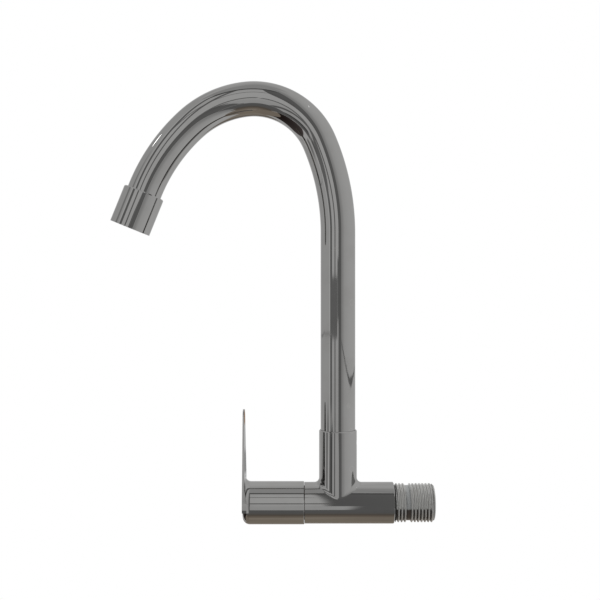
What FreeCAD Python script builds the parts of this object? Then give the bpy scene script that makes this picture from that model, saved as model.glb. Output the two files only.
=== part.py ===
import FreeCAD, Part
import os
from math import cos, hypot, pi, radians, sin, sqrt

# A wall-mounted sink tap with a swan-neck spout and a lever, in millimetres.
# The origin lies on the inlet's axis, in the plane of the barrel's shoulder at the wall end.
# +X points at the wall and +Z up. The lever and the spout's outlet lie towards -X.

# Clearances
press_gap = 0.02
running_gap = 0.05
seam_gap = 0.15
play = 0.1

# Barrel and collar, one casting
barrel_over_collar = 0.85
barrel_edge = 0.35
barrel_mouth_edge = 0.15
neck_from_shoulder = 30.4
nose_length = 8.05
neck_passage = 10.05
collar_edge = 0.5
collar_lip = 0.7
collar_fillet = 2.7
foot_recess = 2.2
foot_gap = 0.15
ledge_width = 1.6
socket_depth = 12.0
bore_chamfer = 0.3

# Inlet nipple, pipe thread of half an inch
thread_d = 20.955
thread_pitch = 1.814
thread_depth = 1.162
crest_width = 0.45
root_width = 0.15
thread_overcut = 0.25
thread_lead_in = 0.25
crest_sectors = 8
inlet_length = 21.15
inlet_chamfer = 1.2
relief_start = 5.45
relief_width = 2.4
relief_depth = 1.0
waterway_d = 12.0
spigot_step = 2.13
seal_thickness = 0.85
seal_width = 0.95

# Headwork
headwork_thread_length = 9.0
headwork_slim_step = 0.33
headwork_slim_wall = 0.9
chamber_gap = 0.1
seat_land = 0.25
seat_width = 1.0
seat_seal_thickness = 1.6
seat_seal_width = 1.8
mouth_gap = 0.3
disc_thickness = 2.5
disc_key_width = 3.0
disc_key_depth = 1.8
port_inner_d = 3.0
port_rim = 1.4
port_angle = 80.0
drive_slot_width = 2.2
drive_slot_depth = 1.1
drive_slot_rim = 1.3
window_length = 4.6
window_width = 8.0
chamber_end = 0.9
flange_thickness = 2.0
flange_width = 0.87
flange_gap = 0.5
gasket_thickness = 0.8
guide_ring_length = 2.5
hex_across = 14.0
hex_length = 5.1
snout_wall = 1.5
snout_length = 2.0

# Spindle
spindle_d = 8.0
drive_stem_d = 6.0
tongue_length = 1.2
piston_d = 11.88
piston_land = 2.15
o_ring_groove_depth = 1.36
o_ring_groove_width = 2.0
washer_thickness = 0.8
circlip_thickness = 0.8
circlip_groove_depth = 0.65
circlip_reach = 1.2
circlip_mouth_deg = 60.0
spline_teeth = 20
spline_depth = 0.45
spline_clearance = 0.08
spline_length = 9.2
spindle_run_out = 1.2
end_chamfer = 0.4

# Lever
hub_step = 0.4
hub_head = 8.7
hub_wall = 1.9
hub_front_wall = 2.4
hub_rear_edge = 0.2
hub_front_fillet = 3.8
lever_height = 51.2
lever_tip_width = 10.0
lever_tip_thickness = 0.8
lever_root_thickness = 1.3
lever_rim = 0.6
lever_flare = 3.0
lever_skirt = 3.4
boss_wall = 2.0
insert_wall = 1.55
insert_mouth = 0.3
insert_overrun = 1.1
grub_d = 5.0
grub_key = 2.5
grub_key_depth = 2.4
grub_groove_depth = 0.8
grub_groove_margin = 0.3
pillar_wall = 1.7
plug_step = 0.45
plug_thickness = 2.05
plug_recess = 0.3

# Spout
tube_d = 19.0
tube_wall = 0.9
bend_height = 147.9
lean_radius = 127.0
lean_angle = 23.1
crown_radius = 39.0
crown_angle = 73.0
brow_radius = 53.6
brow_angle = 36.45
nose_radius = 99.4
nose_angle = 25.4
nose_straight = 1.6
wear_ring_thickness = 0.8
bush_insert = 14.0
bush_wall = 2.75
bush_chamfer = 0.5
swivel_land = 2.9
swivel_groove_depth = 1.3
swivel_groove_width = 1.9
lock_land = 4.05
lock_drop = 5.5
lock_d = 4.0
lock_key = 2.0
lock_key_depth = 1.6
lock_point_d = 2.6
lock_recess = 0.25
stop_groove_depth = 1.6
stop_half_turn = 90.0

# Aerator, measured down from the top edge of its housing
housing_wall = 1.0
housing_edge = 0.5
housing_ledge = 0.85
tube_in_housing = 10.0
end_ring_wall = 0.85
end_ring_recess = 0.9
aerator_gasket_thickness = 1.6
aerator_gasket_width = 3.35
cage_flange_thickness = 1.25
cage_length = 9.0
cage_wall = 1.4
cage_recess = 0.4
cage_screen_depth = 5.0
cage_step = 0.7
cage_floor = 1.2
screen_thickness = 0.3
diffuser_drop = 1.0
diffuser_plate_thickness = 0.8
diffuser_rim = 0.7
grid_pitch = 2.1
grid_hole_d = 1.7
spray_pitch = 2.3
spray_hole_d = 0.9
mesh_pitch = 1.3
mesh_hole_d = 0.9

V = FreeCAD.Vector
ORIGIN = V(0, 0, 0)
AXIS_X = V(1, 0, 0)
AXIS_Y = V(0, 1, 0)
AXIS_Z = V(0, 0, 1)

# Radii that follow from the driving sizes
tube_r = tube_d / 2
tube_bore_r = tube_r - tube_wall
foot_bore_r = tube_r + foot_gap
neck_bore_r = foot_bore_r - ledge_width
collar_r = foot_bore_r + collar_lip
barrel_r = collar_r + barrel_over_collar
hub_r = barrel_r + hub_step
hub_bore_r = hub_r - hub_wall
flange_r = hub_bore_r - flange_gap
headwork_thread_r = flange_r - flange_width
bush_r = neck_bore_r - running_gap
stop_slot_half = lock_point_d / 2 + running_gap
stop_floor_r = bush_r - stop_groove_depth
thread_r = thread_d / 2
spigot_r = thread_r - spigot_step
slim_r = headwork_thread_r - headwork_slim_step
chamber_r = slim_r + chamber_gap
disc_bore_r = slim_r - headwork_slim_wall
disc_r = disc_bore_r - play
seat_bore_r = disc_r - seat_width
piston_r = piston_d / 2
piston_bore_r = piston_r + running_gap
stem_r = spindle_d / 2
stem_bore_r = stem_r + play
insert_r = stem_r + insert_wall
housing_bore_r = tube_r + end_ring_wall
ledge_bore_r = housing_bore_r - housing_ledge
cage_r = ledge_bore_r - play
cage_bore_r = cage_r - cage_wall

# Places along the inlet's axis, from the wall end towards the lever
shoulder_x = -seal_thickness
socket_x = shoulder_x - socket_depth
neck_x = shoulder_x - neck_from_shoulder
front_x = neck_x - collar_r - nose_length
seat_x = neck_x + neck_bore_r + seat_land
fixed_disc_x = seat_x - seat_seal_thickness
moving_disc_x = fixed_disc_x - disc_thickness
window_x = moving_disc_x - disc_thickness
chamber_x = window_x - window_length - chamber_end
piston_back_x = chamber_x - play
piston_front_x = piston_back_x - 3 * piston_land - 2 * o_ring_groove_width
washer_x = piston_front_x - running_gap - washer_thickness
headwork_x = front_x - gasket_thickness
ring_x = headwork_x - flange_thickness
hex_x = ring_x - guide_ring_length - play
snout_x = hex_x - hex_length
snout_end_x = snout_x - snout_length
circlip_x = snout_end_x - play
circlip_end_x = circlip_x - circlip_thickness
spline_x = circlip_end_x - spindle_run_out
spindle_end_x = spline_x - spline_length
grub_x = (spline_x + spindle_end_x) / 2
boss_x = spline_x - insert_mouth
insert_end_x = spindle_end_x - insert_overrun
hub_rear_x = front_x - seam_gap
hub_front_x = insert_end_x - hub_head
hub_web_x = hub_front_x + hub_front_wall
lever_back_x = hub_front_x + lever_root_thickness

# Depths below the inlet's axis, for the screw under the hub
grub_tip = stem_r - grub_groove_depth + running_gap
plug_top = hub_r - plug_thickness
grub_head = plug_top - plug_recess

# Heights on the neck's axis, from the end of the bush up to the collar's rim
bush_end_z = chamber_r + neck_passage
low_ring_z = bush_end_z + swivel_land + swivel_groove_width / 2
high_ring_z = low_ring_z + swivel_groove_width + swivel_land
lock_z = high_ring_z + swivel_groove_width / 2 + lock_land + stop_slot_half
foot_z = lock_z + lock_drop
wear_ring_top = foot_z - running_gap
foot_floor_z = wear_ring_top - wear_ring_thickness
collar_height = foot_floor_z + foot_recess

# Depths from the top edge of the aerator's housing
cage_top = tube_in_housing + aerator_gasket_thickness
ledge_top = cage_top + cage_flange_thickness
screen_end = cage_top + cage_screen_depth
screen_top = screen_end - 2 * screen_thickness
cage_end = cage_top + cage_length
housing_length = cage_end + cage_recess


def moved(shape, base, direction):
    """The shape, drawn on the +Z axis, set on a base point so that it points another way."""
    placement = FreeCAD.Placement(base, FreeCAD.Rotation(AXIS_Z, direction))
    shape.Placement = placement.multiply(shape.Placement)
    return shape


def turned(outline, base=ORIGIN, direction=AXIS_X):
    """A solid of revolution. Its outline is a list of (distance along the axis, radius)."""
    points = [V(radius, 0, distance) for distance, radius in outline]
    face = Part.Face(Part.makePolygon(points + points[:1]))
    return moved(face.revolve(ORIGIN, AXIS_Z, 360), base, direction)


def ring(start, end, inner, outer, base=ORIGIN, direction=AXIS_X):
    """A plain ring between two distances along an axis."""
    return turned([(start, inner), (start, outer), (end, outer), (end, inner)], base, direction)


def rod(start, end, radius, base=ORIGIN, direction=AXIS_X):
    """A plain round rod between two distances along an axis."""
    return moved(Part.makeCylinder(radius, end - start, V(0, 0, start)), base, direction)


def block(low, high):
    """A box between its lowest and highest corners."""
    return Part.makeBox(high[0] - low[0], high[1] - low[1], high[2] - low[2], V(*low))


def hex_prism(across, start, end, base=ORIGIN, direction=AXIS_X):
    """A six-sided prism along an axis, given across its flats."""
    corner = across / sqrt(3)
    points = [V(corner * cos(pi * k / 3), corner * sin(pi * k / 3), start) for k in range(7)]
    face = Part.Face(Part.makePolygon(points))
    return moved(face.extrude(AXIS_Z * (end - start)), base, direction)


def serrated_rod(tip, depth, start, end):
    """A rod along +X with the spindle's fine straight teeth."""
    points = []
    for k in range(2 * spline_teeth):
        radius = tip - depth * (k % 2)
        angle = pi * k / spline_teeth
        points.append(V(start, radius * cos(angle), radius * sin(angle)))
    face = Part.Face(Part.makePolygon(points + points[:1]))
    return face.extrude(AXIS_X * (end - start))


def on_neck(make, *sizes):
    """A turned piece whose distances are heights on the neck's axis."""
    return make(*sizes, V(neck_x, 0, 0), AXIS_Z)


def sector(start, end, inner, outer, middle_deg, spread_deg):
    """A slice of a ring about the inlet's axis, centred on an angle from +Y towards +Z."""
    face = Part.Face(Part.makePolygon([
        V(start, inner, 0), V(start, outer, 0), V(end, outer, 0), V(end, inner, 0), V(start, inner, 0)]))
    slice_ = face.revolve(ORIGIN, AXIS_X, spread_deg)
    slice_.rotate(ORIGIN, AXIS_X, middle_deg - spread_deg / 2)
    return slice_


def tap_body():
    """The barrel and its upright collar, with the bores for the headwork, the inlet and the spout."""
    barrel = turned([
        (front_x, 0), (front_x, barrel_r - barrel_mouth_edge), (front_x + barrel_mouth_edge, barrel_r),
        (shoulder_x - barrel_edge, barrel_r), (shoulder_x, barrel_r - barrel_edge), (shoulder_x, 0)])
    collar = on_neck(turned, [
        (0, 0), (0, collar_r), (collar_height - collar_edge, collar_r),
        (collar_height, collar_r - collar_edge), (collar_height, 0)])
    body = barrel.fuse(collar)
    root = [edge for edge in body.Edges if on_collar_root(edge)]
    body = body.makeFillet(collar_fillet, root)
    socket_r = spigot_r + press_gap
    front_r = headwork_thread_r + press_gap
    level_bore = turned([
        (front_x, 0), (front_x, front_r + bore_chamfer), (front_x + bore_chamfer, front_r),
        (front_x + headwork_thread_length, front_r), (front_x + headwork_thread_length, chamber_r),
        (seat_x, chamber_r), (seat_x, seat_bore_r), (socket_x, seat_bore_r),
        (socket_x, socket_r), (shoulder_x, socket_r), (shoulder_x, 0)])
    upright_bore = on_neck(turned, [
        (0, 0), (0, neck_bore_r), (foot_floor_z, neck_bore_r), (foot_floor_z, foot_bore_r),
        (collar_height, foot_bore_r), (collar_height, 0)])
    screw_hole = rod(0, 2 * collar_r, lock_d / 2, V(neck_x, 0, lock_z))
    return body.cut([level_bore, upright_bore, screw_hole])


def on_collar_root(edge):
    """True for an edge where the collar meets the barrel."""
    point = edge.valueAt((edge.FirstParameter + edge.LastParameter) / 2)
    from_barrel = abs(hypot(point.y, point.z) - barrel_r)
    from_collar = abs(hypot(point.x - neck_x, point.y) - collar_r)
    return from_barrel < 0.001 and from_collar < 0.001 and point.z > 0


def inlet_nipple():
    """The male inlet: a spigot in the barrel and a helical pipe thread with a relief groove."""
    relief_r = thread_r - relief_depth
    relief_end = relief_start + relief_width
    outline = [
        (0, spigot_r), (0, thread_r), (relief_start, thread_r),
        (relief_start, relief_r), (relief_end, relief_r), (relief_end, thread_r),
        (inlet_length - inlet_chamfer, thread_r), (inlet_length, thread_r - inlet_chamfer),
        (inlet_length, spigot_r)]
    points = [V(x, 0, radius) for x, radius in outline]
    face = Part.Face(Part.makePolygon(points + points[:1]))
    sectors = []
    for k in range(crest_sectors):
        piece = face.revolve(ORIGIN, AXIS_X, 360 / crest_sectors)
        piece.rotate(ORIGIN, AXIS_X, 360 * k / crest_sectors)
        sectors.append(piece)
    thread = sectors[0].fuse(sectors[1:]).cut(thread_groove())
    spigot = ring(socket_x + play, inlet_length, waterway_d / 2, spigot_r)
    nipple = thread.fuse(spigot)
    mouth = turned([
        (inlet_length - bore_chamfer, waterway_d / 2), (inlet_length, waterway_d / 2 + bore_chamfer),
        (inlet_length, 0), (inlet_length - bore_chamfer, 0)])
    return nipple.cut(mouth)


def thread_groove():
    """The helical groove between the thread's crests, from inside the seal's gap past the end."""
    half_gap = (thread_pitch - crest_width) / 2
    half_root = root_width / 2
    flank_slope = (half_gap - half_root) / thread_depth
    half_top = half_gap + thread_overcut * flank_slope
    start = -thread_lead_in - half_top
    turns = int((inlet_length - start) / thread_pitch) + 2
    helix = Part.makeLongHelix(thread_pitch, thread_pitch * turns, thread_r, 0, False)
    helix.rotate(ORIGIN, AXIS_Y, 90)
    helix.translate(AXIS_X * start)
    first = helix.Edges[0].valueAt(helix.Edges[0].FirstParameter)
    outward = V(0, first.y, first.z).normalize()
    corners = [
        (-half_top, thread_r + thread_overcut), (half_top, thread_r + thread_overcut),
        (half_root, thread_r - thread_depth), (-half_root, thread_r - thread_depth)]
    points = [V(start + dx, 0, 0) + outward * radius for dx, radius in corners]
    sweep = Part.BRepOffsetAPI.MakePipeShell(helix)
    sweep.setFrenetMode(True)
    sweep.add(Part.makePolygon(points + points[:1]))
    sweep.build()
    sweep.makeSolid()
    return sweep.shape()


def inlet_seal_ring():
    """The black ring clamped between the barrel's shoulder and the thread."""
    return ring(shoulder_x, 0, spigot_r + press_gap, spigot_r + seal_width)


def cartridge_housing():
    """The headwork: screwed into the barrel, it holds the discs and carries the spindle."""
    thread_end_x = front_x + headwork_thread_length - 2 * play
    mouth_x = seat_x - mouth_gap
    snout_r = stem_bore_r + snout_wall
    outer = turned([
        (mouth_x, 0), (mouth_x, slim_r), (thread_end_x, slim_r), (thread_end_x, headwork_thread_r),
        (headwork_x, headwork_thread_r), (headwork_x, flange_r), (ring_x, flange_r),
        (ring_x, headwork_thread_r), (hex_x, headwork_thread_r), (hex_x, snout_r),
        (snout_end_x, snout_r), (snout_end_x, 0)])
    outer = outer.fuse(hex_prism(hex_across, snout_x, hex_x))
    bore = turned([
        (mouth_x, 0), (mouth_x, disc_bore_r), (chamber_x, disc_bore_r), (chamber_x, piston_bore_r),
        (washer_x - running_gap, piston_bore_r), (washer_x - running_gap, stem_bore_r),
        (snout_end_x, stem_bore_r), (snout_end_x, 0)])
    half = window_width / 2
    reach = 2 * slim_r
    window_end_x = window_x - window_length
    key_half = disc_key_width / 2 + running_gap
    key_end_x = fixed_disc_x - disc_key_depth - running_gap
    cuts = [
        bore,
        block((window_end_x, -half, -reach), (window_x, half, reach)),
        block((window_end_x, -reach, -half), (window_x, reach, half)),
        block((key_end_x, -reach, -key_half), (mouth_x, reach, key_half))]
    return outer.cut(cuts)


def cartridge_gasket():
    """The washer under the headwork's flange."""
    return ring(headwork_x, front_x, headwork_thread_r + play, flange_r)


def seat_seal():
    """The rubber ring between the barrel's seat and the fixed disc."""
    return ring(fixed_disc_x, seat_x, disc_r - seat_seal_width, disc_r)


def ports(start, end, middle_deg):
    """The two opposite ports of a ceramic disc."""
    inner = port_inner_d / 2
    outer = disc_r - port_rim
    return [sector(start, end, inner, outer, middle_deg + half_turn, port_angle) for half_turn in (0, 180)]


def fixed_ceramic_disc():
    """The disc that stays: two ports at the sides, and two keys held in the headwork's mouth."""
    disc = rod(moving_disc_x, fixed_disc_x, disc_r)
    reach = slim_r - play
    half = disc_key_width / 2
    keys = block((fixed_disc_x - disc_key_depth, -reach, -half), (fixed_disc_x, reach, half))
    return disc.fuse(keys).cut(ports(moving_disc_x, fixed_disc_x, 0))


def moving_ceramic_disc():
    """The disc that turns with the spindle. Its ports stand above and below while the tap is shut."""
    disc = rod(window_x, moving_disc_x, disc_r)
    half = drive_slot_width / 2
    half_length = disc_r - drive_slot_rim
    slot = block((window_x, -half_length, -half), (window_x + drive_slot_depth, half_length, half))
    return disc.cut(ports(window_x, moving_disc_x, 90) + [slot])


def o_ring_places():
    """The middles of the spindle's two ring grooves, with equal lands beside them."""
    step = piston_land + o_ring_groove_width
    return [piston_back_x - k * step + o_ring_groove_width / 2 for k in (1, 2)]


def spindle():
    """The spindle: a tongue in the moving disc, a piston with two rings, and a splined end for the lever."""
    half_tongue = drive_slot_width / 2 - play
    half_length = disc_r - drive_slot_rim - play
    tongue_end_x = window_x + drive_slot_depth - play
    tongue_x = window_x - tongue_length
    tongue = block((tongue_x, -half_length, -half_tongue), (tongue_end_x, half_length, half_tongue))
    stem = rod(piston_back_x, tongue_x + play, drive_stem_d / 2)
    piston = rod(piston_front_x, piston_back_x, piston_r)
    shaft = rod(spline_x, piston_front_x, stem_r)
    splined = serrated_rod(stem_r, spline_depth, spindle_end_x, spline_x)
    nose = turned([
        (spindle_end_x, 0), (spindle_end_x, stem_r - end_chamfer), (spindle_end_x + end_chamfer, stem_r),
        (spline_x, stem_r), (spline_x, 0)])
    body = tongue.fuse([stem, piston, shaft, splined.common(nose)])
    grooves = [ring(circlip_end_x - play, circlip_x, stem_r - circlip_groove_depth, piston_d)]
    half = o_ring_groove_width / 2
    for x in o_ring_places():
        grooves.append(ring(x - half, x + half, piston_r - o_ring_groove_depth, piston_d))
    half = grub_d / 2 + grub_groove_margin
    grooves.append(ring(grub_x - half, grub_x + half, stem_r - grub_groove_depth, piston_d))
    return body.cut(grooves)


def spindle_orings():
    """Two rubber rings in the piston's grooves."""
    thick = (o_ring_groove_depth - press_gap) / 2
    rings = [Part.makeTorus(piston_r - thick, thick, V(x, 0, 0), AXIS_X) for x in o_ring_places()]
    return Part.makeCompound(rings)


def thrust_washer():
    """The slip washer between the piston's shoulder and the end of its bore."""
    return ring(washer_x, washer_x + washer_thickness, stem_bore_r, piston_r)


def spindle_circlip():
    """The open spring ring that keeps the spindle in the headwork."""
    inner = stem_r - circlip_groove_depth + press_gap
    outer = stem_r + circlip_reach
    full = ring(circlip_end_x, circlip_x, inner, outer)
    return full.cut(sector(circlip_end_x, circlip_x, 0, 2 * outer, 90, circlip_mouth_deg))


def hub_guide_ring():
    """The plastic ring on the headwork that centres the lever's hub."""
    start = ring_x - guide_ring_length
    return ring(start, ring_x, headwork_thread_r + press_gap, hub_bore_r - running_gap)


def spline_insert():
    """The sleeve in the hub that fits the spindle's teeth."""
    sleeve = rod(insert_end_x, boss_x, insert_r)
    teeth = serrated_rod(stem_r + spline_clearance, spline_depth, insert_end_x, boss_x)
    screw_hole = rod(0, 2 * insert_r, grub_d / 2 + play, V(grub_x, 0, 0), -AXIS_Z)
    return sleeve.cut([teeth, screw_hole])


def lever_outline(grow):
    """The flat lever's outline as a face in the hub's front plane, grown outwards by a little."""
    tip_half = lever_tip_width / 2 + grow
    rim = hub_r + lever_rim + grow
    top = lever_height + grow
    # A side runs from the hub's rim to the tip's round end, touching both circles.
    tip_middle = top - tip_half
    lean = (rim - tip_half) / tip_middle
    side_y = sqrt(1 - lean * lean)
    rim_point = (rim * side_y, rim * lean)
    tip_point = (tip_half * side_y, tip_middle + tip_half * lean)
    skirt_half = sqrt(rim * rim - lever_skirt * lever_skirt)

    def at(y, z):
        return V(hub_front_x, y, z)

    right_rim = Part.Arc(at(skirt_half, -lever_skirt), at(rim, 0), at(*rim_point))
    right_side = Part.LineSegment(at(*rim_point), at(*tip_point))
    round_tip = Part.Arc(at(*tip_point), at(0, top), at(-tip_point[0], tip_point[1]))
    left_side = Part.LineSegment(at(-tip_point[0], tip_point[1]), at(-rim_point[0], rim_point[1]))
    left_rim = Part.Arc(at(-rim_point[0], rim_point[1]), at(-rim, 0), at(-skirt_half, -lever_skirt))
    skirt = Part.LineSegment(at(-skirt_half, -lever_skirt), at(skirt_half, -lever_skirt))
    pieces = [right_rim, right_side, round_tip, left_side, left_rim, skirt]
    return Part.Face(Part.Wire([piece.toShape() for piece in pieces]))


def lever_plate():
    """The flat lever: it thins towards its tip, and its front stands in the hub's front plane."""
    back_tip = hub_front_x + lever_tip_thickness
    reach = 2 * hub_r
    side = Part.makePolygon([
        V(hub_front_x, -reach, -lever_skirt), V(lever_back_x, -reach, -lever_skirt),
        V(lever_back_x, -reach, hub_r), V(back_tip, -reach, lever_height),
        V(hub_front_x, -reach, lever_height), V(hub_front_x, -reach, -lever_skirt)])
    wedge = Part.Face(side).extrude(AXIS_Y * 2 * reach)
    return wedge.common(lever_outline(0).extrude(AXIS_X * lever_root_thickness))


def lever_flare_ring():
    """The hollow fillet that runs from the hub's round side out to the back of the lever."""
    corner = V(lever_back_x, 0, hub_r + lever_flare)
    low = V(lever_back_x + lever_flare, 0, hub_r)
    inset = lever_flare * (1 - cos(pi / 4))
    middle = V(lever_back_x + inset, 0, hub_r + inset)
    inner_r = hub_r - hub_wall / 2
    wire = Part.Wire([
        Part.Arc(corner, middle, low).toShape(),
        Part.LineSegment(low, V(low.x, 0, inner_r)).toShape(),
        Part.LineSegment(V(low.x, 0, inner_r), V(lever_back_x, 0, inner_r)).toShape(),
        Part.LineSegment(V(lever_back_x, 0, inner_r), corner).toShape()])
    flare = Part.Face(wire).revolve(ORIGIN, AXIS_X, 360)
    return flare.common(lever_outline(0).extrude(AXIS_X * (lever_root_thickness + lever_flare)))


def front_rounding():
    """What the rounding of the hub's front rim takes away, below the lever's skirt."""
    reach = hub_r + play
    start = V(hub_front_x, 0, hub_r - hub_front_fillet)
    end = V(hub_front_x + hub_front_fillet, 0, hub_r)
    inset = hub_front_fillet * (1 - cos(pi / 4))
    middle = V(hub_front_x + inset, 0, hub_r - inset)
    before_x = hub_front_x - play
    wire = Part.Wire([
        Part.Arc(start, middle, end).toShape(),
        Part.LineSegment(end, V(end.x, 0, reach)).toShape(),
        Part.LineSegment(V(end.x, 0, reach), V(before_x, 0, reach)).toShape(),
        Part.LineSegment(V(before_x, 0, reach), V(before_x, 0, start.z)).toShape(),
        Part.LineSegment(V(before_x, 0, start.z), start).toShape()])
    waste = Part.Face(wire).revolve(ORIGIN, AXIS_X, 360)
    below = block((before_x, -reach, -reach), (hub_rear_x, reach, -lever_skirt))
    return waste.common(below)


def lever_handle():
    """The lever: a round hub over the headwork, a boss for the insert, and the flat upright plate."""
    hub = turned([
        (hub_front_x, 0), (hub_front_x, hub_r), (hub_rear_x - hub_rear_edge, hub_r),
        (hub_rear_x, hub_r - hub_rear_edge), (hub_rear_x, 0)])
    hub = hub.fuse([lever_plate(), lever_flare_ring()]).cut(front_rounding())
    under = V(grub_x, 0, 0)
    hollow = rod(hub_web_x, hub_rear_x, hub_bore_r)
    boss = rod(hub_web_x, boss_x, insert_r + boss_wall)
    pillar = rod(0, hub_r - hub_wall / 2, grub_d / 2 + pillar_wall, under, -AXIS_Z)
    cuts = [
        hollow.cut([boss, pillar]),
        rod(insert_end_x - press_gap, hub_rear_x, insert_r + press_gap),
        rod(hub_web_x, boss_x, stem_bore_r),
        rod(0, 2 * hub_r, grub_d / 2 + press_gap, under, -AXIS_Z),
        rod(plug_top, 2 * hub_r, grub_d / 2 + plug_step + press_gap, under, -AXIS_Z)]
    return hub.cut(cuts)


def handle_grub_screw():
    """The screw that clamps the hub on the spindle."""
    base = V(grub_x, 0, 0)
    screw_r = grub_d / 2
    screw = turned([
        (grub_tip, 0), (grub_tip, screw_r - end_chamfer), (grub_tip + end_chamfer, screw_r),
        (grub_head - end_chamfer, screw_r), (grub_head, screw_r - end_chamfer), (grub_head, 0)],
        base, -AXIS_Z)
    return screw.cut(hex_prism(grub_key, grub_head - grub_key_depth, grub_head, base, -AXIS_Z))


def grub_screw_plug():
    """The cover over the lever's screw, flush with the hub's underside."""
    plug = rod(plug_top, hub_r, grub_d / 2 + plug_step, V(grub_x, 0, 0), -AXIS_Z)
    return plug.common(rod(hub_front_x, hub_rear_x, hub_r - press_gap))


def heading(angle):
    """The way the spout's centre line points after it has turned by an angle in degrees."""
    return V(-sin(radians(angle)), 0, cos(radians(angle)))


def outward(angle):
    """The direction from a bend's centre to the centre line, at an angle in degrees."""
    return V(cos(radians(angle)), 0, sin(radians(angle)))


def spout_course():
    """The bends as (start, angle before it, centre, angle turned), then where the last one ends."""
    bends = [
        (lean_radius, lean_angle), (crown_radius, crown_angle),
        (brow_radius, brow_angle), (nose_radius, nose_angle)]
    point = V(neck_x, 0, bend_height)
    angle = 0.0
    course = []
    for radius, turn in bends:
        centre = point - outward(angle) * radius
        course.append((point, angle, centre, turn))
        angle += turn
        point = centre + outward(angle) * radius
    return course, point, angle


def tube_core(radius):
    """A solid rod along the spout's centre line."""
    course, nose, angle = spout_course()
    pieces = [rod(foot_z, bend_height, radius, V(neck_x, 0, 0), AXIS_Z)]
    for start, before, centre, turn in course:
        section = Part.Face(Part.Wire(Part.makeCircle(radius, start, heading(before))))
        pieces.append(section.revolve(centre, -AXIS_Y, turn))
    pieces.append(rod(0, nose_straight + tube_in_housing, radius, nose, heading(angle)))
    return pieces[0].fuse(pieces[1:])


def spout_tube():
    """The bent tube from the collar to the aerator."""
    return tube_core(tube_r).cut(tube_core(tube_bore_r))


def swivel_bush():
    """The bush in the tube's foot: it turns in the collar, and its groove sets how far the spout swings."""
    insert_r = tube_bore_r - press_gap
    top = foot_z + bush_insert
    bore_r = bush_r - bush_wall
    low = on_neck(turned, [
        (bush_end_z, bore_r), (bush_end_z, bush_r - bush_chamfer), (bush_end_z + bush_chamfer, bush_r),
        (foot_z, bush_r), (foot_z, bore_r)])
    bush = low.fuse(on_neck(ring, foot_z, top, bore_r, insert_r))
    cuts = []
    half = swivel_groove_width / 2
    for z in (low_ring_z, high_ring_z):
        cuts.append(on_neck(ring, z - half, z + half, bush_r - swivel_groove_depth, 2 * bush_r))
    corners = [
        V(stop_floor_r, 0, -stop_slot_half), V(2 * bush_r, 0, -stop_slot_half),
        V(2 * bush_r, 0, stop_slot_half), V(stop_floor_r, 0, stop_slot_half)]
    slot = Part.Face(Part.makePolygon(corners + corners[:1])).revolve(ORIGIN, AXIS_Z, 2 * stop_half_turn)
    slot.rotate(ORIGIN, AXIS_Z, -stop_half_turn)
    slot.translate(V(neck_x, 0, lock_z))
    cuts.append(slot)
    for turn in (-stop_half_turn, stop_half_turn):
        way = V(cos(radians(turn)), sin(radians(turn)), 0)
        cuts.append(rod(stop_floor_r, 2 * bush_r, stop_slot_half, V(neck_x, 0, lock_z), way))
    return bush.cut(cuts)


def swivel_orings():
    """Two rubber rings in the bush's grooves."""
    thick = (swivel_groove_depth - press_gap) / 2
    heights = (low_ring_z, high_ring_z)
    rings = [Part.makeTorus(bush_r - thick, thick, V(neck_x, 0, z), AXIS_Z) for z in heights]
    return Part.makeCompound(rings)


def spout_wear_ring():
    """The plastic ring under the spout's foot."""
    return on_neck(ring, foot_floor_z, wear_ring_top, neck_bore_r + play, foot_bore_r - play)


def spout_lock_screw():
    """The pointed screw in the wall side of the collar. Its point runs in the bush's groove."""
    base = V(neck_x, 0, lock_z)
    point_r = lock_point_d / 2
    screw_r = lock_d / 2 - press_gap
    tip = stop_floor_r + play
    shoulder = neck_bore_r + play
    head = collar_r - lock_recess
    screw = turned([
        (tip, 0), (tip, point_r), (shoulder, point_r), (shoulder, screw_r), (head, screw_r), (head, 0)], base)
    return screw.cut(hex_prism(lock_key, head - lock_key_depth, head, base))


def at_outlet(shape):
    """A piece drawn on +Z with zero at the housing's top edge, set on the spout's end."""
    course, nose, angle = spout_course()
    return moved(shape, nose + heading(angle) * nose_straight, heading(angle))


def grid_of_holes(pitch, hole_d, limit_r, start, end):
    """Round holes on rings about the outlet's axis, one pitch apart, out to a limit."""
    holes = [Part.makeCylinder(hole_d / 2, end - start, V(0, 0, start))]
    rings = int((limit_r - hole_d / 2) / pitch)
    for k in range(1, rings + 1):
        for j in range(6 * k):
            angle = 2 * pi * j / (6 * k)
            centre = V(k * pitch * cos(angle), k * pitch * sin(angle), start)
            holes.append(Part.makeCylinder(hole_d / 2, end - start, centre))
    return holes


def spout_end_ring():
    """The threaded ring on the tube's end that the aerator's housing screws onto."""
    outer = housing_bore_r - running_gap
    piece = turned([
        (end_ring_recess, tube_r), (end_ring_recess, outer - end_chamfer),
        (end_ring_recess + end_chamfer, outer), (tube_in_housing, outer), (tube_in_housing, tube_r)],
        ORIGIN, AXIS_Z)
    return at_outlet(piece)


def aerator_housing():
    """The plated sleeve nut at the outlet."""
    outer = housing_bore_r + housing_wall
    piece = turned([
        (0, housing_bore_r), (0, outer - housing_edge), (housing_edge, outer), (housing_length, outer),
        (housing_length, ledge_bore_r), (ledge_top, ledge_bore_r), (ledge_top, housing_bore_r)],
        ORIGIN, AXIS_Z)
    return at_outlet(piece)


def aerator_gasket():
    """The washer between the tube's end and the aerator."""
    outer = housing_bore_r - 2 * play
    inner = outer - aerator_gasket_width
    return at_outlet(ring(tube_in_housing, cage_top, inner, outer, ORIGIN, AXIS_Z))


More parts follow.
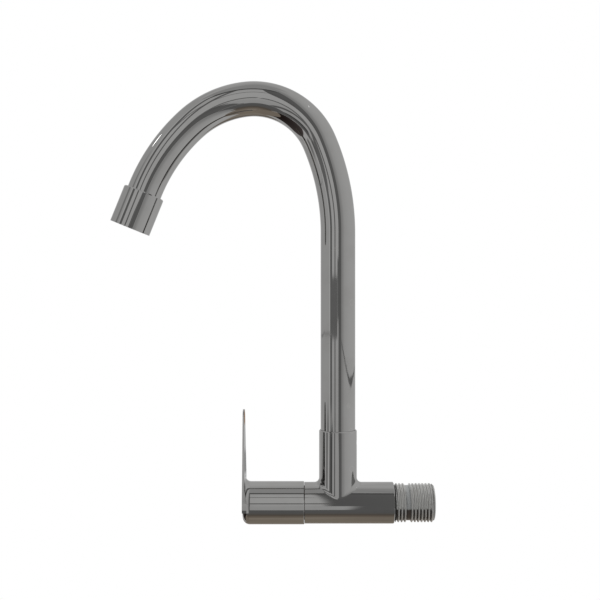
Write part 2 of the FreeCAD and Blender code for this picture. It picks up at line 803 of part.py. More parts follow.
def aerator_cage():
    """The plastic body of the aerator, with a flange on the housing's ledge and a grid as its floor."""
    flange = housing_bore_r - 2 * play
    narrow = cage_bore_r - cage_step
    floor_top = cage_end - cage_floor
    piece = turned([
        (cage_top, cage_bore_r), (cage_top, flange), (ledge_top, flange), (ledge_top, cage_r),
        (cage_end, cage_r), (cage_end, 0), (floor_top, 0), (floor_top, narrow),
        (screen_end, narrow), (screen_end, cage_bore_r)], ORIGIN, AXIS_Z)
    return at_outlet(piece.cut(grid_of_holes(grid_pitch, grid_hole_d, narrow, floor_top, cage_end)))


def aerator_screens():
    """Two fine mesh discs, one on the other, on the step in the cage."""
    radius = cage_bore_r - play
    discs = []
    for k in range(2):
        start = screen_top + k * screen_thickness
        disc = rod(start + press_gap, start + screen_thickness, radius, ORIGIN, AXIS_Z)
        holes = grid_of_holes(mesh_pitch, mesh_hole_d, radius - cage_step, start, start + screen_thickness)
        discs.append(disc.cut(holes))
    return at_outlet(Part.makeCompound(discs))


def diffuser_plate():
    """The perforated plate that splits the water, standing on its rim on the screens."""
    outer = cage_bore_r - play
    rim = outer - diffuser_rim
    start = cage_top + diffuser_drop
    floor = start + diffuser_plate_thickness
    piece = turned([
        (start, 0), (start, outer), (screen_top, outer), (screen_top, rim), (floor, rim), (floor, 0)],
        ORIGIN, AXIS_Z)
    return at_outlet(piece.cut(grid_of_holes(spray_pitch, spray_hole_d, rim, start, floor)))


NODES = [
    tap_body, inlet_nipple, inlet_seal_ring, cartridge_housing, cartridge_gasket, fixed_ceramic_disc,
    seat_seal, hub_guide_ring, spout_lock_screw, spout_wear_ring, lever_handle, spline_insert,
    handle_grub_screw, grub_screw_plug, spindle, spindle_orings, thrust_washer, moving_ceramic_disc,
    spindle_circlip, spout_tube, swivel_bush, swivel_orings, spout_end_ring, aerator_housing,
    aerator_gasket, aerator_cage, diffuser_plate, aerator_screens]

os.makedirs("parts", exist_ok=True)
for node in NODES:
    shape = node()
    shape.exportStep("parts/" + node.__name__ + ".step")
    box = shape.BoundBox
    print(node.__name__, len(shape.Solids), "solids", shape.isValid(), "volume", round(shape.Volume, 1),
          "x", round(box.XMin, 2), round(box.XMax, 2), "z", round(box.ZMin, 2), round(box.ZMax, 2))
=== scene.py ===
# %% [markdown]
# # A wall-mounted sink tap with a swan-neck spout
# The solids of this tap were drawn in millimetres and packed as one model with three bodies: the tap on
# the wall, and the lever and the spout that turn on it. This lesson loads them, gives each piece the finish
# of the real one, rebuilds the two pieces that a rule makes best, and lights the tap like a product photo.
# Lengths here are in metres, +X points at the wall and +Z up.

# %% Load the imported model
from math import cos, pi, radians, sin, tan

import bpy
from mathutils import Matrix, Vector


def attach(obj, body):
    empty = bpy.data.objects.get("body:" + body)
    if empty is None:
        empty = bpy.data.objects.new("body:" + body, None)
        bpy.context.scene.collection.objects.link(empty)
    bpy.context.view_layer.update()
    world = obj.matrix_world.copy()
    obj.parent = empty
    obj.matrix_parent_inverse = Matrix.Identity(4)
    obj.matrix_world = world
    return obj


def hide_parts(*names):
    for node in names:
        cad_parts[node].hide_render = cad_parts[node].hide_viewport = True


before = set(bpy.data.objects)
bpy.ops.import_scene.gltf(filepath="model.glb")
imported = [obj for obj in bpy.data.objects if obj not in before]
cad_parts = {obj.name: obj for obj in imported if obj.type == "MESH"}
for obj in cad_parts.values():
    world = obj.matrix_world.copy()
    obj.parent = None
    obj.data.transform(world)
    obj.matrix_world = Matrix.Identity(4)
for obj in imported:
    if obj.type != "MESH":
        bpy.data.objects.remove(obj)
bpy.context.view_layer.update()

print("solids:", len(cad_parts))


# %% Helper: corners in millimetres
def in_mm(box):
    """The corners of a box in millimetres, to print."""
    return [[round(1000 * value, 2) for value in corner] for corner in box]


# %% [markdown]
# ## The camera
# The photo looks at the tap square from its side, a little above the inlet, so the camera is level and
# stands half a metre away. A short distance matters: it shows the back of the lever on one side and the
# bulging thread on the other. The focal length then follows from how wide the tap is in the picture.


# %% Helper: an object in the scene
def add_object(name, data):
    """Puts a mesh, curve, light or camera in the scene as an object at the origin."""
    made = bpy.data.objects.new(name, data)
    bpy.context.scene.collection.objects.link(made)
    return made


# %% Camera
camera = add_object("photo_camera", bpy.data.cameras.new("photo_camera"))
camera.data.sensor_width = 36
camera.data.lens = 56.22
camera.data.clip_start = 0.01
camera.location = (-0.05205, -0.514, 0.1111)
camera.rotation_euler = (pi / 2, 0, 0)
bpy.context.scene.camera = camera
print("camera stands", round(-camera.location.y, 3), "m in front of the tap")

# %% [markdown]
# ## Helpers for node trees
# Each finish and each rebuilt piece below is a node tree. The trees could be clicked together by hand, but
# a script is easier to read back and gives the same tree every time. These helpers add a node and wire it,
# do arithmetic, and start a group with named sockets.


# %% Helper: one node, wired
def add_node(tree, kind, values=None, **settings):
    """Adds a node. Values maps an input's name or number to a value or to another node's output."""
    node = tree.nodes.new(kind)
    for name, setting in settings.items():
        setattr(node, name, setting)
    for key, value in (values or {}).items():
        if isinstance(value, bpy.types.NodeSocket):
            tree.links.new(value, node.inputs[key])
        else:
            node.inputs[key].default_value = value
    return node


# %% Helper: arithmetic in a tree
def calc(tree, operation, *values):
    """One Math node. Returns its output."""
    return add_node(tree, "ShaderNodeMath", dict(enumerate(values)), operation=operation).outputs[0]


# %% Helper: a group with named sockets
def new_group(name, kind, inputs, outputs):
    """Starts a node group. Inputs maps a name to (socket, first value), and outputs a name to a socket."""
    group = bpy.data.node_groups.new(name, kind)
    for title, (socket, value) in inputs.items():
        made = group.interface.new_socket(title, in_out="INPUT", socket_type="NodeSocket" + socket)
        if value is not None:
            made.default_value = value
    for title, socket in outputs.items():
        group.interface.new_socket(title, in_out="OUTPUT", socket_type="NodeSocket" + socket)
    return group, group.nodes.new("NodeGroupInput").outputs, group.nodes.new("NodeGroupOutput").inputs


# %% [markdown]
# ## Surface effects that several finishes share
# No real surface is even. Where hands touch it, it is hazy. Water dries on it in rings. Cloths leave fine
# hairlines, lathes leave rings, and moulds and castings leave grain. Pictures wrapped round the pieces
# could show all this, but noise has no seams and stays sharp close up. Each effect is a small group that
# puts out numbers which change over the surface. The shader itself stays in the material.


# %% Helper: start an effect
def new_effect(name, sizes, outputs):
    """Starts a shader group that takes a place on the surface and some sizes, and puts out numbers."""
    inputs = {"Vector": ("Vector", None)}
    for title, value in sizes.items():
        inputs[title] = ("Vector" if isinstance(value, tuple) else "Float", value)
    return new_group(name, "ShaderNodeTree", inputs, dict.fromkeys(outputs, "Float"))


# %% Helpers: noise, and a smooth slope
def noise(tree, place, scale, detail, roughness=0.5):
    """A Noise Texture with so many lumps per metre. Returns its value, mostly from 0.2 to 0.8."""
    return add_node(tree, "ShaderNodeTexNoise", {
        "Vector": place, "Scale": scale, "Detail": detail, "Roughness": roughness}).outputs[0]


def slope(tree, measure, start, end, low=0.0, high=1.0):
    """Low up to the start and high from the end on, with a smooth slope between."""
    return add_node(tree, "ShaderNodeMapRange", {
        "Value": measure, "From Min": start, "From Max": end, "To Min": low, "To Max": high},
        interpolation_type="SMOOTHSTEP").outputs["Result"]


# %% Effect: soft patches
def make_patches():
    """Soft-edged patches: 0 where the surface is clean and up to 1 where it was touched."""
    group, given, result = new_effect("Soft patches", {"Patches per metre": 40.0, "Share": 0.4}, ["Mask"])
    cloud = noise(group, given["Vector"], given["Patches per metre"], 4.0, 0.6)
    brightest, soft_edge = 0.82, 0.24
    start = calc(group, "SUBTRACT", brightest, given["Share"])
    group.links.new(slope(group, cloud, start, calc(group, "ADD", start, soft_edge)), result["Mask"])
    return group


patches = make_patches()
print("effect:", patches.name)


# %% Effect: fine grain
def make_grain():
    """Fine grain of a mould or a casting, as a height and as a broader mask."""
    group, given, result = new_effect("Fine grain", {"Grains per metre": 2000.0}, ["Height", "Mask"])
    fine = noise(group, given["Vector"], given["Grains per metre"], 3.0, 0.55)
    broad = noise(group, given["Vector"], calc(group, "MULTIPLY", given["Grains per metre"], 0.2), 2.0)
    group.links.new(fine, result["Height"])
    group.links.new(
        calc(group, "MULTIPLY_ADD", fine, 0.5, calc(group, "MULTIPLY", broad, 0.5)), result["Mask"])
    return group


grain = make_grain()
print("effect:", grain.name)


# %% Effect: rings that a lathe leaves
def make_rings():
    """Fine rings round an axis, deeper in some places than in others."""
    group, given, result = new_effect(
        "Lathe rings", {"Axis": (1.0, 0.0, 0.0), "Rings per metre": 4000.0}, ["Height", "Mask"])
    along = add_node(group, "ShaderNodeVectorMath", {
        0: given["Vector"], 1: given["Axis"]}, operation="DOT_PRODUCT").outputs["Value"]
    ring = add_node(group, "ShaderNodeTexNoise", {
        "W": calc(group, "MULTIPLY", along, given["Rings per metre"]), "Scale": 1.0, "Detail": 2.0},
        noise_dimensions="1D").outputs[0]
    worn = noise(group, given["Vector"], 180.0, 2.0)
    group.links.new(ring, result["Height"])
    group.links.new(calc(group, "MULTIPLY", ring, worn), result["Mask"])
    return group


rings = make_rings()
print("effect:", rings.name)


# %% Effect: hairlines from wiping
def make_hairlines():
    """Thin long lines in two directions, as a cloth leaves them: 0 between them and up to 1 on them."""
    group, given, result = new_effect("Hairlines", {"Lines per metre": 1400.0}, ["Mask"])
    stretch, line_starts, line_full = (0.02, 1.0, 1.0), 0.66, 0.78
    lines = []
    for turn in ((0.3, 0.5, 0.2), (-0.6, 0.9, 1.1)):
        turned = add_node(group, "ShaderNodeMapping", {"Vector": given["Vector"], "Rotation": turn})
        drawn_out = add_node(group, "ShaderNodeMapping", {
            "Vector": turned.outputs["Vector"], "Scale": stretch})
        streaks = noise(group, drawn_out.outputs["Vector"], given["Lines per metre"], 1.0)
        lines.append(slope(group, streaks, line_starts, line_full))
    group.links.new(calc(group, "MAXIMUM", *lines), result["Mask"])
    return group


hairlines = make_hairlines()
print("effect:", hairlines.name)


# %% Helper: a smooth fall
def fall(tree, measure, start, end):
    """1 up to the start and 0 from the end on, with a smooth slope between."""
    return slope(tree, measure, start, end, 1.0, 0.0)


# %% Effect: rings of dried water drops
def make_drops():
    """Thin rings where drops dried, on some cells of a Voronoi pattern only."""
    group, given, result = new_effect("Dried drops", {"Drops per metre": 160.0, "Share": 0.3}, ["Mask"])
    cells = add_node(group, "ShaderNodeTexVoronoi", {
        "Vector": given["Vector"], "Scale": given["Drops per metre"], "Randomness": 0.9}).outputs
    chance = add_node(group, "ShaderNodeSeparateColor", {"Color": cells["Color"]}).outputs
    smallest, spread, line_width = 0.16, 0.14, 0.05
    size = calc(group, "MULTIPLY_ADD", chance["Green"], spread, smallest)
    off_line = calc(group, "ABSOLUTE", calc(group, "SUBTRACT", cells["Distance"], size))
    line = fall(group, off_line, 0.0, line_width)
    here = calc(group, "LESS_THAN", chance["Red"], given["Share"])
    group.links.new(calc(group, "MULTIPLY", line, here), result["Mask"])
    return group


drops = make_drops()
print("effect:", drops.name)

# %% [markdown]
# ## How a finish is put together
# Each finish is one material with a Principled BSDF. A number that is the same all over is set on the
# shader's own socket. The colour, the roughness and the bump change over the surface and come from the
# effects. Object coordinates keep every pattern at its real size, whatever piece it is on.


# %% Helper: a new finish
def new_finish(name, **constants):
    """Starts a material. Returns it with its tree, its shader and the object's coordinates."""
    material = bpy.data.materials.new(name)
    material.use_nodes = True
    tree = material.node_tree
    shader = tree.nodes["Principled BSDF"]
    for socket, value in constants.items():
        shader.inputs[socket.replace("_", " ")].default_value = value
    return material, tree, shader, tree.nodes.new("ShaderNodeTexCoord").outputs["Object"]


# %% Helper: an effect's outputs
def use(tree, group, place, **values):
    """Places a shared effect with its own values and returns its outputs."""
    node = add_node(tree, "ShaderNodeGroup", node_tree=group)
    tree.links.new(place, node.inputs["Vector"])
    for name, value in values.items():
        node.inputs[name.replace("_", " ")].default_value = value
    return node.outputs


# %% Helper: a number or a colour that follows a mask
def swing(tree, mask, low, high):
    """A number that goes from low to high as a mask goes from 0 to 1."""
    return add_node(tree, "ShaderNodeMapRange", {
        "Value": mask, "To Min": low, "To Max": high}).outputs["Result"]


def tint(tree, mask, first, second):
    """Two colours mixed by a mask. Each is a triple or another node's output."""
    node = add_node(tree, "ShaderNodeMix", {"Factor": mask}, data_type="RGBA")
    for number, colour in ((6, first), (7, second)):
        if isinstance(colour, bpy.types.NodeSocket):
            tree.links.new(colour, node.inputs[number])
        else:
            node.inputs[number].default_value = (*colour, 1)
    return node.outputs[2]


# %% Helper: wire the colour, the roughness and the bump
def wire(tree, shader, colour, roughness, height, depth):
    """Feeds the shader. The bump's depth is in metres."""
    bump = add_node(tree, "ShaderNodeBump", {"Height": height, "Distance": depth})
    tree.links.new(colour, shader.inputs["Base Color"])
    tree.links.new(roughness, shader.inputs["Roughness"])
    tree.links.new(bump.outputs["Normal"], shader.inputs["Normal"])


# %% [markdown]
# ## Polished plate
# The barrel, the lever, the spout and the outlet's sleeve are plated and polished to a dark mirror. A
# mirror shows nearly nothing of its own. A shader with one grey and one roughness would do, but no real
# plate is that even, so this finish lives on small things: a surface that ripples by microns, haze from
# fingers, wiping hairlines and the rings of dried drops. The tint at grazing angles is held down, because
# the rims of the real plate stay grey and don't flare up to white.


# %% Finish: polished plate
rim_grey = (0.74, 0.74, 0.74, 1)


def make_plate():
    """The dark mirror of the barrel, lever, spout and outlet."""
    material, tree, shader, place = new_finish("Polished plate", Metallic=1.0, Specular_Tint=rim_grey)
    haze = use(tree, patches, place, Patches_per_metre=55.0, Share=0.36)["Mask"]
    lines = use(tree, hairlines, place, Lines_per_metre=1500.0)["Mask"]
    spots = use(tree, drops, place, Drops_per_metre=120.0, Share=0.10)["Mask"]
    colour = tint(tree, haze, (0.302, 0.300, 0.295), (0.288, 0.285, 0.279))
    colour = tint(tree, calc(tree, "MULTIPLY", spots, 0.35), colour, (0.36, 0.355, 0.345))
    rough = calc(tree, "MULTIPLY_ADD", lines, 0.02, swing(tree, haze, 0.028, 0.05))
    rough = calc(tree, "MULTIPLY_ADD", spots, 0.06, rough)
    ripple = noise(tree, place, 120.0, 1.0)
    wire(tree, shader, colour, rough, ripple, 0.000004)
    return material


plate = make_plate()
print("finish:", plate.name)

# %% [markdown]
# ## Plated thread
# The inlet's thread is cut and then plated without polish, so it is satin. Its crests are dulled by
# handling, its roots are brighter, and the groove across it is greyer. Painted shade darkens the roots on
# the underside to near black, easing to dark brown at the lowest place. The cutter leaves faint rings,
# and sealing tape and hands leave grey patches. These zones could be painted by hand, but the distance
# from the thread's axis tells a root from a crest by itself, so masks come from that.

# %% Where the zones of the thread lie
groove_middle, groove_half = 0.00665, (0.0010, 0.0013)
root_floor, root_top = (0.0090, 0.0092), (0.0096, 0.0101)
thread_end = (0.0195, 0.0200)
# Painted shade in the lower roots: its top, the waver of its edge, its strength, and where it browns below.
root_shade_level, root_shade_waver, root_shade_strength = (-0.0023, -0.0013), 0.0012, 0.92
shade_bottom = (-0.0092, -0.0070)
print("thread roots from", 1000 * root_floor[0], "to", 1000 * root_top[1], "mm from the axis")


# %% Helpers: vectors in a tree
def split(tree, vector):
    """The X, Y and Z of a vector."""
    return add_node(tree, "ShaderNodeSeparateXYZ", {0: vector}).outputs


def joined(tree, **parts):
    """A vector from its X, Y and Z, where a part that isn't given is 0."""
    return add_node(tree, "ShaderNodeCombineXYZ", parts).outputs[0]


def length(tree, vector):
    """How long a vector is."""
    return add_node(tree, "ShaderNodeVectorMath", {0: vector}, operation="LENGTH").outputs["Value"]


# %% Finish: plated thread
def make_thread_plate():
    """Satin plate over a cut thread, with painted shade in the roots below."""
    material, tree, shader, place = new_finish("Plated thread", Metallic=0.8)
    cut = use(tree, rings, place, Rings_per_metre=3000.0)
    grey = use(tree, patches, place, Patches_per_metre=160.0, Share=0.42)["Mask"]
    at = split(tree, place)
    from_groove = calc(tree, "ABSOLUTE", calc(tree, "SUBTRACT", at["X"], groove_middle))
    groove = fall(tree, from_groove, *groove_half)
    radius = length(tree, joined(tree, Y=at["Y"], Z=at["Z"]))
    root = calc(tree, "SUBTRACT", fall(tree, radius, *root_top), fall(tree, radius, *root_floor))
    root = calc(tree, "MULTIPLY", root, fall(tree, at["X"], *thread_end))
    # Painted shade: roots below the thread's middle go near black, and dark brown at the lowest place.
    uneven = calc(tree, "SUBTRACT", noise(tree, place, 500.0, 2.0), 0.5)
    height = calc(tree, "ADD", at["Z"], calc(tree, "MULTIPLY", uneven, root_shade_waver))
    root_shade = calc(tree, "MULTIPLY", calc(tree, "MULTIPLY", root, fall(tree, height, *root_shade_level)), root_shade_strength)
    shade_colour = tint(tree, fall(tree, at["Z"], *shade_bottom), (0.045, 0.034, 0.027), (0.17, 0.145, 0.12))
    colour = tint(tree, grey, (0.445, 0.443, 0.432), (0.40, 0.396, 0.383))
    colour = tint(tree, root, colour, (0.65, 0.65, 0.638))
    colour = tint(tree, groove, colour, (0.33, 0.338, 0.338))
    colour = tint(tree, root_shade, colour, shade_colour)
    rough = calc(tree, "MULTIPLY_ADD", cut["Mask"], 0.08, swing(tree, grey, 0.38, 0.46))
    wire(tree, shader, colour, rough, cut["Height"], 0.000001)
    return material


thread_plate = make_thread_plate()
print("finish:", thread_plate.name)

# %% [markdown]
# ## Turned brass and steel
# The headwork, the spindle, the swivel bush and the ring at the tube's end are turned from brass bar, and
# the screws, the circlip and the screens are stainless steel. All of them show lathe rings and dull
# patches. The rings stand across the piece's own axis, so one function makes either metal for any axis.

# %% The three axes that pieces were turned on
spout_end_turn = radians(157.95)
turning_axes = {
    "level": (1.0, 0.0, 0.0),
    "upright": (0.0, 0.0, 1.0),
    "outlet": (-sin(spout_end_turn), 0.0, cos(spout_end_turn)),
}
print("turning axes:", ", ".join(turning_axes))


# %% Finish: turned metal
def make_turned(metal, way, bright, dull, cuts, spots, share, rough, ring_rough, depth):
    """A metal with lathe rings across the named axis and dull patches."""
    material, tree, shader, place = new_finish(metal + ", " + way, Metallic=1.0)
    turned = use(tree, rings, place, Rings_per_metre=cuts, Axis=turning_axes[way])
    dulled = use(tree, patches, place, Patches_per_metre=spots, Share=share)["Mask"]
    colour = tint(tree, dulled, bright, dull)
    roughness = calc(tree, "MULTIPLY_ADD", turned["Mask"], ring_rough, swing(tree, dulled, *rough))
    wire(tree, shader, colour, roughness, turned["Height"], depth)
    return material


# %% Brass with brown tarnish, and stainless steel
brass = {way: make_turned(
    "Turned brass", way, bright=(0.72, 0.56, 0.28), dull=(0.50, 0.35, 0.16), cuts=5000.0, spots=110.0,
    share=0.40, rough=(0.20, 0.38), ring_rough=0.16, depth=0.00001) for way in turning_axes}
steel = {way: make_turned(
    "Turned stainless steel", way, bright=(0.52, 0.52, 0.515), dull=(0.42, 0.415, 0.40), cuts=6500.0,
    spots=150.0, share=0.36, rough=(0.18, 0.30), ring_rough=0.14, depth=0.000008) for way in turning_axes}
print("finishes:", [made.name for made in (*brass.values(), *steel.values())])

# %% [markdown]
# ## Rubber, fibre, ceramic and plastics
# These pieces seal, guide and filter. Rubber is matt and picks up a grey bloom. The fibre washer is
# pressed from short threads and looks mottled. Ceramic discs are lapped smooth and nearly white. The
# mouldings have a faint grain, and the one in the outlet also collects scale from hard water. They differ
# only in their numbers, so one function serves them all.


# %% Finish: moulded, pressed and lapped pieces
def make_soft_finish(name, clean, aged, rough, grains, depth, share, patch=90.0, **constants):
    """A grained finish that goes from a clean colour to an aged one in patches."""
    material, tree, shader, place = new_finish(name, **constants)
    fine = use(tree, grain, place, Grains_per_metre=grains)
    aging = use(tree, patches, place, Patches_per_metre=patch, Share=share)["Mask"]
    mottle = calc(tree, "MULTIPLY", fine["Mask"], calc(tree, "MULTIPLY_ADD", aging, 0.8, 0.2))
    colour = tint(tree, mottle, clean, aged)
    roughness = calc(tree, "MULTIPLY_ADD", fine["Mask"], 0.1, swing(tree, aging, *rough))
    wire(tree, shader, colour, roughness, fine["Height"], depth)
    return material


# %% Rubber, fibre and ceramic
rubber = make_soft_finish(
    "Black rubber", (0.008, 0.008, 0.009), (0.035, 0.034, 0.033),
    rough=(0.50, 0.66), grains=2600.0, depth=0.00002, share=0.45, Specular_IOR_Level=0.2)
fibre = make_soft_finish(
    "Pressed fibre", (0.47, 0.17, 0.11), (0.28, 0.09, 0.06),
    rough=(0.70, 0.85), grains=1500.0, depth=0.00004, share=0.55, patch=500.0)
ceramic = make_soft_finish(
    "Lapped ceramic", (0.86, 0.86, 0.84), (0.74, 0.735, 0.71),
    rough=(0.16, 0.26), grains=3500.0, depth=0.000004, share=0.35)
print("finishes:", [made.name for made in (rubber, fibre, ceramic)])

# %% Plastics
acetal = make_soft_finish(
    "Moulded acetal", (0.81, 0.81, 0.79), (0.66, 0.65, 0.61),
    rough=(0.34, 0.46), grains=1800.0, depth=0.000012, share=0.40)
cage_plastic = make_soft_finish(
    "Outlet plastic with scale", (0.60, 0.62, 0.63), (0.84, 0.83, 0.79),
    rough=(0.36, 0.60), grains=1300.0, depth=0.00002, share=0.45, patch=240.0)
print("finishes:", [made.name for made in (acetal, cage_plastic)])


# %% Finish: plated plastic plug
def make_plug_plate():
    """Plated plastic, with the faint orange peel of its moulding."""
    material, tree, shader, place = new_finish("Plated plug", Metallic=1.0, Specular_Tint=rim_grey)
    peel = use(tree, grain, place, Grains_per_metre=900.0)
    haze = use(tree, patches, place, Patches_per_metre=200.0, Share=0.4)["Mask"]
    colour = tint(tree, haze, (0.34, 0.338, 0.332), (0.29, 0.286, 0.278))
    wire(tree, shader, colour, swing(tree, haze, 0.08, 0.16), peel["Height"], 0.000008)
    return material


plug_plate = make_plug_plate()
print("finish:", plug_plate.name)

# %% [markdown]
# ## Which piece has which finish
# The solids that keep their own shape only get a finish in their material slot. Their meshes stay as they
# are, because they already are what was drawn.

# %% Dress the pieces
wardrobe = {
    "tap_body": plate, "lever_handle": plate, "aerator_housing": plate, "inlet_nipple": thread_plate,
    "cartridge_housing": brass["level"], "spindle": brass["level"], "swivel_bush": brass["upright"],
    "spout_end_ring": brass["outlet"], "handle_grub_screw": steel["upright"],
    "spout_lock_screw": steel["level"], "spindle_circlip": steel["level"], "grub_screw_plug": plug_plate,
    "inlet_seal_ring": rubber, "seat_seal": rubber, "spindle_orings": rubber, "swivel_orings": rubber,
    "aerator_gasket": rubber, "cartridge_gasket": fibre, "fixed_ceramic_disc": ceramic,
    "moving_ceramic_disc": ceramic, "hub_guide_ring": acetal, "spout_wear_ring": acetal,
    "thrust_washer": acetal, "spline_insert": acetal, "aerator_cage": cage_plastic,
    "diffuser_plate": cage_plastic,
}
for name, finish in wardrobe.items():
    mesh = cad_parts[name].data
    mesh.materials.clear()
    mesh.materials.append(finish)
print("dressed:", len(wardrobe), "pieces")

# %% [markdown]
# ## The spout tube
# The real spout is a straight tube that was bent round four formers, one after the other. Its shape
# follows a rule, so Geometry Nodes make it: a circle swept along the centre line, with the wall added
# inside. It could also be a bevelled curve, but that has no wall. The centre line is one Bezier spline. A
# handle of 4/3 tan(angle/4) times the radius makes a Bezier piece follow a round bend to a few microns.

# %% Sizes of the spout
neck_x = -0.03125
foot_z = 0.03865
bend_height = 0.1479
bends = [(0.127, 23.1), (0.039, 73.0), (0.0536, 36.45), (0.0994, 25.4)]
nose_straight = 0.0016
tube_in_housing = 0.010
tube_radius = 0.0095
tube_wall = 0.0009
tube_rows, tube_sides = 360, 96
print("the spout turns", round(sum(turn for _, turn in bends), 2), "degrees in", len(bends), "bends")


# %% Directions along the centre line
def heading(degrees):
    """The way the tube points after it has turned by an angle from upright."""
    return Vector((-sin(radians(degrees)), 0, cos(radians(degrees))))


def outward(degrees):
    """From a bend's centre towards the centre line."""
    return Vector((cos(radians(degrees)), 0, sin(radians(degrees))))


# %% Corners of the centre line
def tube_corners():
    """Bezier corners as (place, way, reach before, reach after), then where the bends end, and their turn."""
    place, turned = Vector((neck_x, 0, bend_height)), 0.0
    straight = (bend_height - foot_z) / 3
    corners = [(Vector((neck_x, 0, foot_z)), heading(0), 0, straight)]
    before = straight
    for radius, turn in bends:
        after = 4 / 3 * tan(radians(turn) / 4) * radius
        corners.append((place, heading(turned), before, after))
        place = place - outward(turned) * radius + outward(turned + turn) * radius
        turned += turn
        before = after
    last = nose_straight + tube_in_housing
    corners.append((place, heading(turned), before, last / 3))
    corners.append((place + heading(turned) * last, heading(turned), last / 3, 0))
    return corners, place, turned


corners, nose, nose_turn = tube_corners()
print("the bends end at", in_mm([nose])[0], "mm, turned", round(nose_turn, 2), "degrees")


# %% Draw the centre line
def draw_line(name, corners):
    """Makes a Bezier curve object from the corners."""
    curve = bpy.data.curves.new(name, "CURVE")
    curve.dimensions = "3D"
    spline = curve.splines.new("BEZIER")
    spline.resolution_u = 160
    spline.bezier_points.add(len(corners) - 1)
    for knot, (place, way, before, after) in zip(spline.bezier_points, corners):
        knot.handle_left_type = knot.handle_right_type = "FREE"
        knot.co = place
        knot.handle_left = place - way * before
        knot.handle_right = place + way * after
    return add_object(name, curve)


tube_line = draw_line("spout_centre_line", corners)
print("centre line drawn through", len(corners), "corners")


# %% Helper: the end of a geometry tree
def dress(tree, geometry, finish):
    """Makes instances real and gives the result its material."""
    real = add_node(tree, "GeometryNodeRealizeInstances", {"Geometry": geometry})
    return add_node(tree, "GeometryNodeSetMaterial", {
        "Geometry": real.outputs[0], "Material": finish}).outputs[0]


# %% Geometry Nodes: a swept tube with a wall
def make_tube_tree():
    """Sweeps a circle along a curve, lines it with an inner wall and closes both ends with a flat rim."""
    tree, given, result = new_group("Swept tube", "GeometryNodeTree", {
        "Centre line": ("Geometry", None), "Radius": ("Float", 0.0095), "Wall": ("Float", 0.0009),
        "Rows along": ("Int", 360), "Sides": ("Int", 96), "Finish": ("Material", None)}, {"Tube": "Geometry"})
    rows = add_node(tree, "GeometryNodeResampleCurve", {
        "Curve": given["Centre line"], "Count": given["Rows along"]})
    circle = add_node(tree, "GeometryNodeCurvePrimitiveCircle", {
        "Resolution": given["Sides"], "Radius": given["Radius"]})
    skin = add_node(tree, "GeometryNodeCurveToMesh", {
        "Curve": rows.outputs[0], "Profile Curve": circle.outputs[0]})
    inner = add_node(tree, "GeometryNodeExtrudeMesh", {
        "Mesh": skin.outputs[0], "Offset Scale": calc(tree, "MULTIPLY", given["Wall"], -1.0),
        "Individual": False})
    facing_in = add_node(tree, "GeometryNodeFlipFaces", {"Mesh": inner.outputs["Mesh"]})
    flat_rims = add_node(tree, "GeometryNodeSetShadeSmooth", {
        "Geometry": facing_in.outputs[0], "Selection": inner.outputs["Side"], "Shade Smooth": False})
    both = add_node(tree, "GeometryNodeJoinGeometry")
    for wall in (skin, flat_rims):
        tree.links.new(wall.outputs[0], both.inputs[0])
    closed = add_node(tree, "GeometryNodeMergeByDistance", {
        "Geometry": both.outputs[0], "Distance": 0.000001})
    tree.links.new(dress(tree, closed.outputs[0], given["Finish"]), result["Tube"])
    return tree


tube_tree = make_tube_tree()
print("tree:", tube_tree.name, "with", len(tube_tree.nodes), "nodes")


# %% Helper: run a tree once and keep a plain mesh
def run_tree(name, carrier, tree, values):
    """Runs a geometry tree on a carrier, which then goes, and returns a plain mesh object."""
    modifier = carrier.modifiers.new(name, "NODES")
    modifier.node_group = tree
    for item in tree.interface.items_tree:
        if item.item_type == "SOCKET" and item.in_out == "INPUT" and item.name in values:
            modifier[item.identifier] = values[item.name]
    bpy.context.view_layer.update()
    graph = bpy.context.evaluated_depsgraph_get()
    mesh = bpy.data.meshes.new_from_object(carrier.evaluated_get(graph), depsgraph=graph)
    bpy.data.objects.remove(carrier)
    mesh.name = name
    return add_object(name, mesh)


# %% Make the tube
tube = run_tree("bent_spout_tube", tube_line, tube_tree, {
    "Radius": tube_radius, "Wall": tube_wall, "Rows along": tube_rows, "Sides": tube_sides,
    "Finish": plate})
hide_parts("spout_tube")
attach(tube, "spout")
print("tube:", len(tube.data.polygons), "faces")

# %% [markdown]
# ## The aerator's screens
# Two discs of woven wire lie in the outlet and break the water up. Each wire goes over one and under the
# next. Modelling them wire by wire would be slow work, so Geometry Nodes lay a row of wires, wave them
# with a cosine, and lay the same row across with the wave turned over. Where a wire of the first row is
# up, the one that crosses it is then down.

# %% Sizes of the screens
screen_radius = 0.0079
screen_wires = 25
wire_radius = 0.00007
screen_depths = (0.01615, 0.01645)
screen_turn = 0.6
print("wire spacing:", round(2000 * screen_radius / (screen_wires + 1), 3), "mm")


